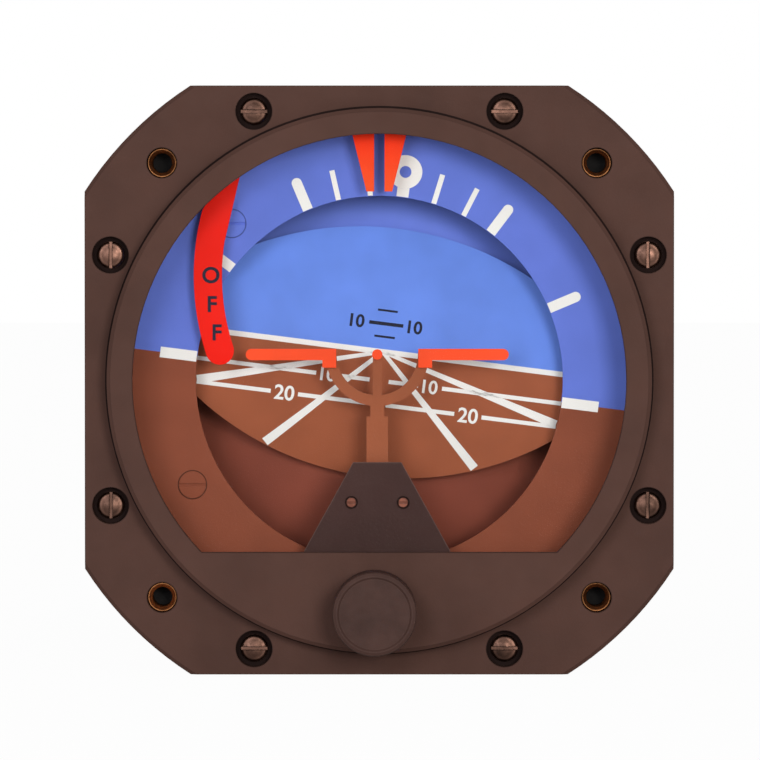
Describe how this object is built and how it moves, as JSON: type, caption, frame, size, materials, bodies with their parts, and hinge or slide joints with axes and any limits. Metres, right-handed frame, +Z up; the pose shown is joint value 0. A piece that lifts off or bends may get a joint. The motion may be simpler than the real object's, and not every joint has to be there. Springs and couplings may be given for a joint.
{
  "type": "attitude indicator",
  "caption": "Panel-mounted attitude indicator: square bezel with round window, roll dial, moving horizon disc, miniature aeroplane, warning flag and a gyro on gimbals in a round case.",
  "frame": {"origin": "on the dial axis, in the plane where the flange's front face meets the back of the panel", "axes": "+X to the pilot's right, +Y into the panel along the dial axis, +Z up; the window faces -Y"},
  "size_m": [0.0852, 0.1695, 0.0852],
  "materials": {
    "bezel_paint": "matte",
    "case_paint": "matte",
    "window_glass": "gloss",
    "black_rubber": "matte",
    "black_anodised": "satin",
    "blackened_steel": "satin",
    "steel": "satin",
    "brass": "satin",
    "copper": "satin",
    "index_orange": "satin",
    "flag_red": "satin",
    "aeroplane_orange": "satin",
    "bracket_brown": "matte",
    "shield_black": "matte",
    "knob_plastic": "matte",
    "bare_aluminium": "satin",
    "dial_paint": "matte",
    "sky_paint": "matte",
    "horizon_paint": "matte",
    "white_mark": "matte",
    "black_mark": "matte",
    "counterweight_brass": "satin",
    "gyro_paint": "satin",
    "winding": "satin",
    "board_green": "satin",
    "component_black": "satin",
    "phenolic": "satin",
    "gold": "polished"
  },
  "bodies": {
    "case": {"bezel": "bezel_paint", "case_body": "case_paint", "rear_cover": "case_paint", "window_glass": "window_glass", "glass_gasket": "black_rubber", "case_gasket": "black_rubber", "glass_retainer": "black_anodised", "bezel_screws": "blackened_steel", "rear_screws": "steel", "mounting_inserts": "brass", "index_screws": "steel", "guide_screws": "steel", "shield_screws": "copper", "bank_index": "index_orange", "flag_pivot_pin": "steel", "flag_spring": "steel", "flag_coil": "winding", "centre_shield": "shield_black", "carriage_guide": "black_anodised", "knob_bushing": "brass", "bearing_housing": "bare_aluminium", "roll_bearings": "steel", "brush_block": "phenolic", "power_board": "board_green", "board_parts": "component_black", "connector_shell": "bare_aluminium", "connector_insert": "component_black", "connector_pins": "gold"},
    "roll_gimbal": {"roll_dial": "dial_paint", "dial_screws": "dial_paint", "dial_carrier": "black_anodised", "dial_struts": "steel", "sky_background": "sky_paint", "gimbal_front_plate": "black_anodised", "gimbal_frame": "bare_aluminium", "pitch_bearings": "steel", "arm_pivots": "steel", "roll_spindle": "steel", "slip_rings": "gold"},
    "pitch_gimbal": {"gyro_housing": "gyro_paint", "gyro_housing_cap": "gyro_paint", "pitch_trunnions": "steel", "drive_crank": "bare_aluminium", "motor_stator": "winding", "gyro_bearings": "steel", "erector": "blackened_steel"},
    "gyro_rotor": {"gyro_wheel": "counterweight_brass", "gyro_shaft": "steel"},
    "horizon": {"horizon_disc": "horizon_paint", "horizon_arms": "bare_aluminium", "arm_counterweights": "counterweight_brass"},
    "knob": {"adjusting_knob": "knob_plastic", "knob_set_screw": "blackened_steel", "knob_shaft": "steel", "shaft_collar": "steel", "knob_pinion": "brass"},
    "aeroplane": {"aeroplane_bracket": "bracket_brown", "aeroplane_wings": "aeroplane_orange"},
    "flag": {"warning_flag": "flag_red"}
  },
  "joints": [
    {"name": "roll", "type": "hinge", "parent": "case", "child": "roll_gimbal", "pos_m": [0, 0.048, 0], "axis": [0, 1, 0], "continuous": true},
    {"name": "pitch", "type": "hinge", "parent": "roll_gimbal", "child": "pitch_gimbal", "pos_m": [0, 0.048, 0], "axis": [-0.9921, 0, 0.1253], "range_deg": [-50.2, 29.8]},
    {"name": "gyro_spin", "type": "hinge", "parent": "pitch_gimbal", "child": "gyro_rotor", "pos_m": [0, 0.048, 0], "axis": [0.1234, 0.1771, 0.9764], "continuous": true},
    {"name": "horizon_swing", "type": "hinge", "parent": "roll_gimbal", "child": "horizon", "pos_m": [0, 0.0832, 0], "axis": [-0.9921, 0, 0.1253], "range_deg": [-15.05, 8.95]},
    {"name": "knob_turn", "type": "hinge", "parent": "case", "child": "knob", "pos_m": [-0.0007, 0, -0.0332], "axis": [0, 1, 0], "range_deg": [-18.39, 141.17]},
    {"name": "aeroplane_lift", "type": "slide", "parent": "case", "child": "aeroplane", "axis": [0, 0, 1], "range_m": [-0.0062, 0.0008]},
    {"name": "flag_swing", "type": "hinge", "parent": "case", "child": "flag", "pos_m": [-0.017, 0, 0.034], "axis": [0, 1, 0], "range_deg": [0, 27.5]}
  ],
  "couplings": [
    {"joint": "horizon_swing", "follows": "pitch", "ratio": 0.2988},
    {"joint": "knob_turn", "follows": "aeroplane_lift", "rad_per_m": -396.83}
  ]
}
